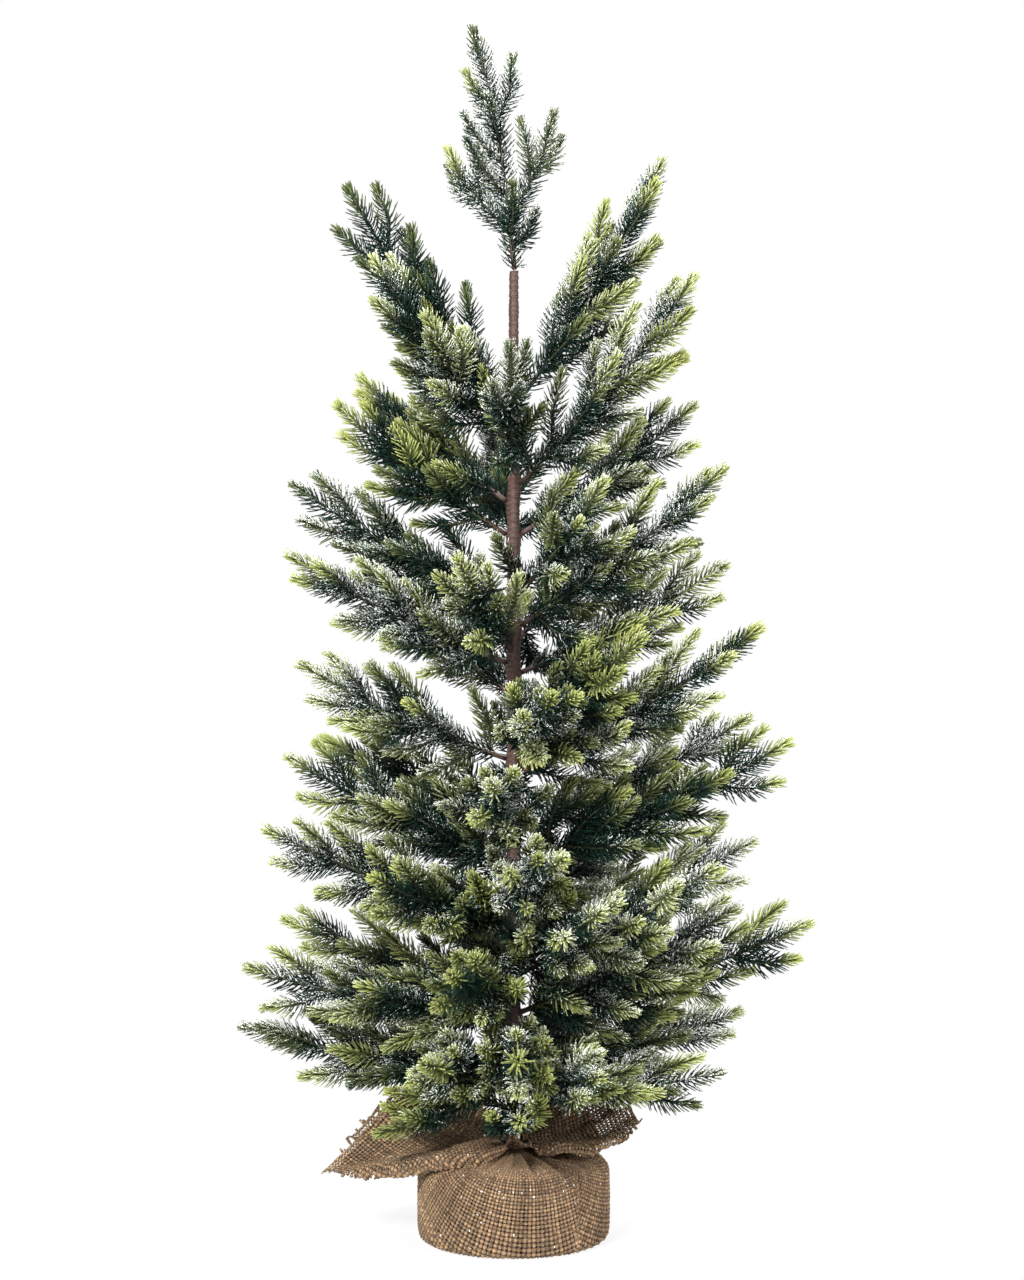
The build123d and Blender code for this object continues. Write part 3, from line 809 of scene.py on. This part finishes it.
def turned_under(azimuth):
    """1 where the collar's edge is rolled under, at the front of the left and right flaps."""
    azimuth = np.mod(azimuth, 360.0)
    left = smooth_step((azimuth - 185.0) / 7.0) * (1 - smooth_step((azimuth - 256.0) / 10.0))
    right = smooth_step((azimuth - 292.0) / 12.0) * (1 - smooth_step((azimuth - 346.0) / 10.0))
    return left + right


def collar_surface(azimuth, reach):
    """A place on the collar, for a direction in degrees and a share of the way to its edge."""
    radius, height, sag = collar_edge(azimuth)
    r = COLLAR_INNER + (radius - COLLAR_INNER) * reach
    z = NECK_HIGH + (height - NECK_HIGH) * reach - 4 * sag * reach * (1 - reach)
    turn = np.radians(azimuth)
    ruffle = 1.3 * np.sin(7 * turn + 0.8) + 0.9 * np.sin(13 * turn + 2.1 * np.sin(2 * turn))
    z = z + ruffle * np.minimum(reach, 1.1) * smooth_step(reach * 3.0)
    under = turned_under(azimuth)
    begin = 1 - np.minimum(math.pi * CURL_RADIUS / (radius - COLLAR_INNER), 0.5)
    curl = math.pi * np.clip((reach - begin) / (1 - begin), 0.0, 1.1) * under
    r = r + (np.minimum(reach, begin) - reach) * (radius - COLLAR_INNER) * under + CURL_RADIUS * np.sin(curl)
    z = z - CURL_RADIUS * (1 - np.cos(curl))
    return np.stack([r * np.cos(turn), r * np.sin(turn), z], -1)


def surface_normals(surface, a, b, step_a, step_b):
    """Unit normals of surface(a, b), by small steps: outward on the drum, downward on the collar."""
    along_a = surface(a + step_a, b) - surface(a - step_a, b)
    along_b = surface(a, b + step_b) - surface(a, b - step_b)
    return unit(np.cross(along_a, along_b))


def weave_threads(rng, lines, stations, place, family):
    """Tubes for one family of threads.

    place(line, station) gives points, normals and a mask of what is kept. Stations are half a pitch
    apart, so every second one is a crossing. Threads are as wide as their spacing lets them be.
    """
    line_at, station_at = np.meshgrid(lines, np.arange(len(stations)), indexing="ij")
    wobble = rng.uniform(-0.16, 0.16, len(lines))[:, None] + 0.10 * np.sin(station_at * 0.35 + line_at)
    points, normals, keep = place(lines[:, None] * WEAVE_PITCH + wobble, stations[None, :])
    spacing = np.linalg.norm(np.gradient(points, axis=0), axis=-1) / WEAVE_PITCH
    width = np.clip(spacing, 0.28, 1.6)
    number = np.round(stations / (WEAVE_PITCH / 2)).astype(int)[None, :]
    crossing = number % 2 == 0
    sign = np.where((number // 2 + lines[:, None] + family) % 2 == 0, 1.0, -1.0)
    rise = np.where(crossing, sign, 0.0) * CLOTH_RISE * np.minimum(width, 1.0)
    points = points + normals * rise[..., None]
    tangents = unit(np.gradient(points, axis=1))
    across = unit(np.cross(normals, tangents))
    proud = np.cross(tangents, across)
    stout = rng.uniform(0.82, 1.18, len(lines))[:, None] * (1 + 0.12 * np.sin(station_at * 0.9 + 7 * line_at))
    turn = np.arange(THREAD_SIDES)[:, None] * (2 * math.pi / THREAD_SIDES)
    wide = (THREAD_HALF_WIDTH * stout * width)[..., None, None] * np.cos(turn)
    thick = (THREAD_HALF_THICKNESS * stout * np.sqrt(width))[..., None, None] * np.sin(turn)
    rings = points[:, :, None] + across[:, :, None] * wide + proud[:, :, None] * thick
    joined_up = keep[:, :-1] & keep[:, 1:]
    first = (np.arange(len(lines))[:, None] * len(stations) + station_at) * THREAD_SIDES
    quads = ring_quads(first[:, :-1][joined_up][:, None], THREAD_SIDES)
    nothing = np.zeros((len(lines), 1), bool)
    begins = keep & ~np.concatenate([nothing, joined_up], 1)
    ends = keep & ~np.concatenate([joined_up, nothing], 1)
    fan = np.arange(1, THREAD_SIDES - 1)[None]
    caps = []
    for mask, second, third in ((begins & ~ends, fan + 1, fan), (ends & ~begins, fan, fan + 1)):
        base = first[mask][:, None]
        caps.append(np.stack([base + 0 * fan, base + second, base + third], -1).reshape(-1, 3))
    tint = np.zeros((*rings.shape[:3], 4))
    tint[..., 0] = rng.uniform(0, 1, len(lines))[:, None, None]
    # Green of the tint: high at the crossings, low between them; the jute material paints shade from it
    # between the crossings.
    tint[..., 1] = np.where(crossing, 0.95, 0.2)[..., None]
    tint[..., 3] = (rng.uniform(0, 1, rings.shape[:2]) > 0.994)[..., None] * 1.0
    rings, tint = rings.reshape(-1, 3), tint.reshape(-1, 4)
    return without_spares(rings, tint, quads, np.concatenate(caps))


def without_spares(points, tint, quads, tris):
    """The same mesh, less the points that no face uses."""
    used = np.zeros(len(points), bool)
    used[quads.ravel()] = True
    used[tris.ravel()] = True
    new = np.cumsum(used) - 1
    return points[used], tint[used], new[quads], new[tris]


def merged(parts):
    """One mesh from several (points, tint, quads, tris)."""
    first = 0
    out = [[], [], [], []]
    for points, tint, quads, tris in parts:
        out[0].append(points)
        out[1].append(tint)
        out[2].append(quads + first)
        out[3].append(tris + first)
        first += len(points)
    return [np.concatenate(x) for x in out]


def drum_threads(family):
    """One family of threads over the drum's side and top, panel by panel."""
    parts = []
    top = DRUM_RUN[-1]
    middle = SIDE_RUN * 0.5
    for number, (first, last, upright) in enumerate(PANELS):
        rng = np.random.default_rng(SEED + 31 * number + family)

        def place(line, station, first=first, last=last, upright=upright):
            line, station = np.broadcast_arrays(line, station)
            u, v = (line, station) if family == 0 else (station, line)
            far = np.hypot(u, v)
            run = middle + np.log(np.maximum(far * SIDE_TWIST, 1e-6)) / SIDE_TWIST
            angle = np.arctan2(v, u) / (SIDE_TWIST * DRUM_RADIUS) + math.radians(upright)
            keep = (run > 0) & (run < top - 0.5)
            keep &= (angle > math.radians(first) - 0.03) & (angle < math.radians(last) + 0.03)
            run = np.clip(run, 0.5, top - 0.6)
            points = drum_surface(angle, run)
            normals = surface_normals(drum_surface, angle, run, 0.01, 0.4)
            return points, normals, keep

        limit = math.exp((top - middle) * SIDE_TWIST) / SIDE_TWIST
        count = int(limit / WEAVE_PITCH) + 1
        lines = np.arange(-count, count + 1)
        stations = np.arange(-2 * count, 2 * count + 1) * (WEAVE_PITCH / 2)
        parts.append(weave_threads(rng, lines, stations, place, family))
    return merged(parts)


RAY_STRETCH = 1.06           # how much longer the collar is along its folds than it looks
FRAY = 6.5                   # the longest loose thread end
# each half of the collar: its middle direction and how its threads lie there, in degrees
COLLAR_HALVES = ((180.0, 42.0), (0.0, 17.0))


def unrolled(middle):
    """For one half of the collar: directions, and the angles that they have in the flat cloth."""
    azimuth = middle + np.arange(-92.0, 92.5, 1.0)
    share = np.full(len(azimuth), 0.75)
    ahead = collar_surface(azimuth + 0.5, share)
    behind = collar_surface(azimuth - 0.5, share)
    radius, _, _ = collar_edge(azimuth)
    flat = (NECK_RADIUS + (radius - NECK_RADIUS) * 0.75) * RAY_STRETCH
    spread = np.degrees(np.linalg.norm(ahead - behind, axis=1) / flat)
    angle = np.concatenate([[0.0], np.cumsum((spread[1:] + spread[:-1]) / 2)])
    return azimuth, angle - np.interp(middle, azimuth, angle)


def collar_threads(family):
    """One family of threads over the flared collar, each running on past the edge as a fray."""
    parts = []
    for number, (middle, turn) in enumerate(COLLAR_HALVES):
        rng = np.random.default_rng(SEED + 400 + 10 * number + family)
        count = int(118 / WEAVE_PITCH)
        lines = np.arange(-count, count + 1)
        stations = np.arange(-2 * count, 2 * count + 1) * (WEAVE_PITCH / 2)
        fray = rng.uniform(0.0, 1.0, (len(lines), 2)) ** 1.5 * FRAY
        droop = rng.normal(0, 1.0, (len(lines), 2, 3))
        directions, angles = unrolled(middle)

        def place(line, station, fray=fray, droop=droop, directions=directions, angles=angles,
                  turn=turn):
            line, station = np.broadcast_arrays(line, station)
            u, v = (line, station) if family == 0 else (station, line)
            flat_angle = (np.degrees(np.arctan2(v, u)) + turn + 540.0) % 360.0 - 180.0
            azimuth = np.interp(flat_angle, angles, directions)
            far = np.hypot(u, v) / RAY_STRETCH
            radius, _, _ = collar_edge(azimuth)
            end = (station > 0).astype(int)
            rows = np.broadcast_to(np.arange(len(lines))[:, None], line.shape)
            over = far - radius
            keep = (far > COLLAR_INNER + 0.5) & (over < fray[rows, end] * (1 - turned_under(azimuth)))
            keep &= (flat_angle > angles[0]) & (flat_angle < angles[-1])
            reach = np.clip((far - COLLAR_INNER) / (radius - COLLAR_INNER), 0.0, 1.5)
            points = collar_surface(azimuth, reach)
            loose = np.maximum(over, 0.0)[..., None]
            points = points + droop[rows, end] * loose * 0.16 + np.array([0, 0, 0.012]) * loose**2
            normals = surface_normals(collar_surface, azimuth, reach, 0.6, 0.01)
            return points, normals, keep

        parts.append(weave_threads(rng, lines, stations, place, family))
    return merged(parts)


GATHERS = 72                 # folds of spare cloth tucked down inside the drum's top
GATHER_SIDES = 8
CLOTH_FOOT = 0.5             # the cloth's middle, where the base stands on it
DRUM_ROWS = 70
COLLAR_ROWS = 26
OPEN_END = 0.30              # of the right flap, next to its edge, seen through between the threads


def gather_depth(r):
    """How deep the spare cloth hangs at a distance from the middle."""
    under_top = smooth_step((DRUM_RADIUS - 2.0 - r) / 5.0) * smooth_step((r - 9.0) / 3.0)
    return (3.6 + (DRUM_RADIUS - r) * 0.125) * under_top


def painted_shade_sheet():
    """A near-black sheet under the threads, painted shade seen between them, with its spare width tucked in
    folds.
    """
    around = GATHERS * GATHER_SIDES
    angle = np.arange(around) * (2 * math.pi / around)
    zigzag = 1.0 - np.abs(np.arange(around) % GATHER_SIDES - GATHER_SIDES / 2) / (GATHER_SIDES / 2)
    rows = []
    for r in np.linspace(2.0, DRUM_RADIUS - 5.0, 10)[:-1]:
        rows.append(np.stack([r * np.cos(angle), r * np.sin(angle), np.full(around, CLOTH_FOOT)], -1))
    for run in np.linspace(0.3, DRUM_RUN[-1], DRUM_ROWS):
        runs = np.full(around, run)
        row = drum_surface(angle, runs) - surface_normals(drum_surface, angle, runs, 0.01, 0.4)
        depth = gather_depth(np.interp(run, DRUM_RUN, DRUM_R)) if run > SIDE_RUN else 0.0
        row[:, 2] -= depth * zigzag
        rows.append(row)
    azimuth = np.degrees(angle)
    for reach in np.linspace(0.02, 0.97, COLLAR_ROWS):
        open_end = OPEN_END * np.exp(-(((azimuth + 180) % 360 - 180 - 4) / 22.0) ** 2)
        share = reach * (1 - open_end)
        normals = surface_normals(collar_surface, azimuth, share, 0.6, 0.01)
        rows.append(collar_surface(azimuth, share) + normals * 0.45)
    quads = ring_quads(np.arange(len(rows) - 1)[:, None] * around, around)
    centre = len(rows) * around
    points = np.concatenate(rows + [[[0, 0, CLOTH_FOOT]]])
    first = np.arange(around)
    tris = np.stack([first, np.full(around, centre), (first + 1) % around], -1)
    tint = np.zeros((len(points), 4))
    # The collar's part of the painted shade sheet takes the lighter of its two dark tones.
    tint[-COLLAR_ROWS * around - 1:, 0] = 1.0
    return points, tint, quads, tris


def build_burlap(materials):
    """The burlap: a dark middle sheet of painted shade and the threads woven round it."""
    points, tint, quads, tris = painted_shade_sheet()
    sheet = make_piece("burlap_painted_shade_sheet", points, quads, tris, materials["jute_painted_shade"], "root", tint)
    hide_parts("burlap_wrap")
    for family, label in enumerate(("warp", "weft")):
        for region, maker in (("side", drum_threads), ("collar", collar_threads)):
            points, tint, quads, tris = maker(family)
            make_piece(f"burlap_{region}_{label}", points, quads, tris, materials["jute"],
                                      "root", tint)


TWINE_SIDES = 7
STRAND_RADIUS = 0.56
TWINE_TURN = 1.05            # half the height between the two turns


def build_twine(materials):
    """Two turns of three-strand twine round the neck, with a knot and two tails behind."""
    low, high = (np.array(c) * M_TO_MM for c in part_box("neck_twine"))
    ring = (high[0] - low[0]) / 2 - 1.0
    middle = (low[2] + high[2]) / 2
    curves = []
    s = np.linspace(0, 2 * math.pi, 241)
    for turn in (-TWINE_TURN, TWINE_TURN):
        for strand in range(3):
            twist = 30 * s + strand * 2 * math.pi / 3
            r = ring + 0.5 * np.cos(twist)
            z = middle + turn + 0.5 * np.sin(twist)
            curves.append((np.stack([r * np.cos(s), r * np.sin(s), z], -1), STRAND_RADIUS))
    knot = np.array([0.0, high[1] - 2.2, middle])
    s = np.linspace(0, 2 * math.pi, 97)
    loop = [2.0 * np.sin(2 * s), 0.9 * np.cos(3 * s), 1.7 * np.cos(s) + 0.4 * np.sin(3 * s)]
    curves.append((np.stack(loop, -1) + knot, 0.95))
    for side in (-1, 1):
        way = [(0, 0, 0), (side * 3.0, 1.6, -0.6), (side * 7.5, 2.6, 0.4), (side * 11.0, 6.0, -0.2)]
        curves.append((smooth_curve([knot + step for step in way], 0.8), 0.8))
    tubes = []
    first = 0
    for curve, radius in curves:
        tubes.append(tube(curve, np.full(len(curve), radius), TWINE_SIDES, first))
        first += len(tubes[-1][0])
    points, quads, tris = (np.concatenate(x) for x in zip(*tubes))
    tint = np.zeros((len(points), 4))
    tint[:, 0] = 0.5 + 0.5 * waves(points, 3.0, SEED + 77)
    piece = make_piece("neck_twine_strands", points, quads, tris, materials["twine"], "root", tint)
    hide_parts("neck_twine")


# ---- camera, floor and light
def build_camera():
    """The camera stands in front, a little above the middle of the tree, and looks slightly down."""
    low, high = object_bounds()
    tall = high[2] - low[2]
    distance = 2.0
    aside = -0.001
    data = bpy.data.cameras.new("camera")
    data.sensor_fit = "VERTICAL"
    data.sensor_height = 36.0
    shown_height = tall * 1.0568
    data.lens = data.sensor_height * distance / shown_height
    camera = bpy.data.objects.new("camera", data)
    camera.location = (aside, -distance, tall * 0.7353)
    aim = Vector((aside, 0.0, tall * 0.5028))
    camera.rotation_euler = (aim - camera.location).to_track_quat("-Z", "Y").to_euler()
    bpy.context.scene.collection.objects.link(camera)
    bpy.context.scene.camera = camera


def build_floor():
    """A wide white floor that keeps a pale shadow."""
    mesh = bpy.data.meshes.new("floor")
    wide = 14.0
    corners = [(-wide, -wide, 0), (wide, -wide, 0), (wide, wide, 0), (-wide, wide, 0)]
    mesh.from_pydata(corners, [], [(0, 1, 2, 3)])
    floor = bpy.data.objects.new("floor", mesh)
    bpy.context.scene.collection.objects.link(floor)
    n = material_nodes("floor_white")
    n.put(n.shader, "Base Color", (0.88, 0.88, 0.88, 1.0))
    n.put(n.shader, "Roughness", 0.9)
    n.put(n.shader, "Specular IOR Level", 0.1)
    glow = n.add("ShaderNodeEmission")
    n.put(glow, "Color", (1.0, 1.0, 1.0, 1.0))
    n.put(glow, "Strength", 1.0)
    place = n.add("ShaderNodeNewGeometry")
    distance = n.add("ShaderNodeVectorMath", operation="LENGTH")
    n.link(place.outputs["Position"], distance.inputs[0])
    fade = n.ramp(distance.outputs["Value"], 0.05, 0.24, 0.88, 1.0)
    mixer = n.add("ShaderNodeMixShader")
    n.link(n.math("MULTIPLY", n.seen_directly(), fade), mixer.inputs[0])
    n.link(n.shader.outputs[0], mixer.inputs[1])
    n.link(glow.outputs[0], mixer.inputs[2])
    n.link(mixer.outputs[0], n.tree.nodes["Material Output"].inputs["Surface"])
    mesh.materials.append(n.owner)


# name, place, side and power of each square lamp
LAMPS = (
    ("key", (-0.9, -1.9, 1.5), 0.5, 100.0),
    ("fill", (1.7, -1.3, 0.9), 1.2, 36.0),
    ("top", (0.2, 0.6, 2.2), 0.9, 60.0),
)


def build_light():
    """A world that looks white but gives little light, and three large soft lamps."""
    world = bpy.data.worlds.new("studio")
    bpy.context.scene.world = world
    n = Nodes(world)
    ground = n.tree.nodes["Background"]
    n.put(ground, "Color", (1.0, 1.0, 1.0, 1.0))
    n.put(ground, "Strength", n.ramp(n.seen_directly(), 0.0, 1.0, 0.045, 1.0))
    middle = Vector((0.0, 0.0, 0.36))
    for name, place, size, power in LAMPS:
        data = bpy.data.lights.new(name, "AREA")
        data.shape = "SQUARE"
        data.size = size
        data.energy = power
        lamp = bpy.data.objects.new(name, data)
        lamp.location = place
        lamp.rotation_euler = (middle - Vector(place)).to_track_quat("-Z", "Y").to_euler()
        bpy.context.scene.collection.objects.link(lamp)


def dress_cad_nodes():
    """Materials for the inner CAD pieces that stay as they are."""
    looks = {
        "base_tub": ("tub_black", (0.010, 0.010, 0.011), (0.030, 0.030, 0.030), 0.5),
        "cement_fill": ("cast_cement", (0.22, 0.215, 0.20), (0.42, 0.41, 0.39), 0.85),
        "trunk_rod": ("rod_steel", (0.42, 0.42, 0.43), (0.60, 0.60, 0.61), 0.38, 1.0),
        "branch_wires": ("wire_green", (0.012, 0.030, 0.014), (0.03, 0.06, 0.03), 0.45),
    }
    for node, look in looks.items():
        material = plain_solid_material(*look)
        for slot in frame["nodes"][node].material_slots:
            slot.material = material


# ---- the whole
def build_all():
    bpy.context.scene.view_settings.view_transform = "Standard"
    build_camera()
    build_floor()
    build_light()
    dress_cad_nodes()
    materials = {
        "needle": needle_material(),
        "flock": flock_material(),
        "stem": stem_material(),
        "tape": tape_material(),
        "jute": jute_material("jute_yarn", (0.058, 0.027, 0.010), (0.40, 0.235, 0.112), (0.96, 0.72, 0.45)),
        # Painted shade: near-black colours for the sheet seen between the threads.
        "jute_painted_shade": jute_material("jute_shade", (0.008, 0.003, 0.002), (0.045, 0.022, 0.010),
                                   (0.05, 0.025, 0.013)),
        "twine": jute_material("twine_yarn", (0.16, 0.095, 0.05), (0.30, 0.19, 0.11), (0.48, 0.34, 0.22)),
    }
    branches = sorted(n for n in frame["nodes"] if "_branch_" in n) + ["top_leader"]
    elbows = [node_rods(n)[1] for n in branches[:-1]]
    for number, node in enumerate(branches):
        build_branch(node, number, materials)
    build_trunk_tape(materials, elbows)
    build_burlap(materials)
    build_twine(materials)


build_all()
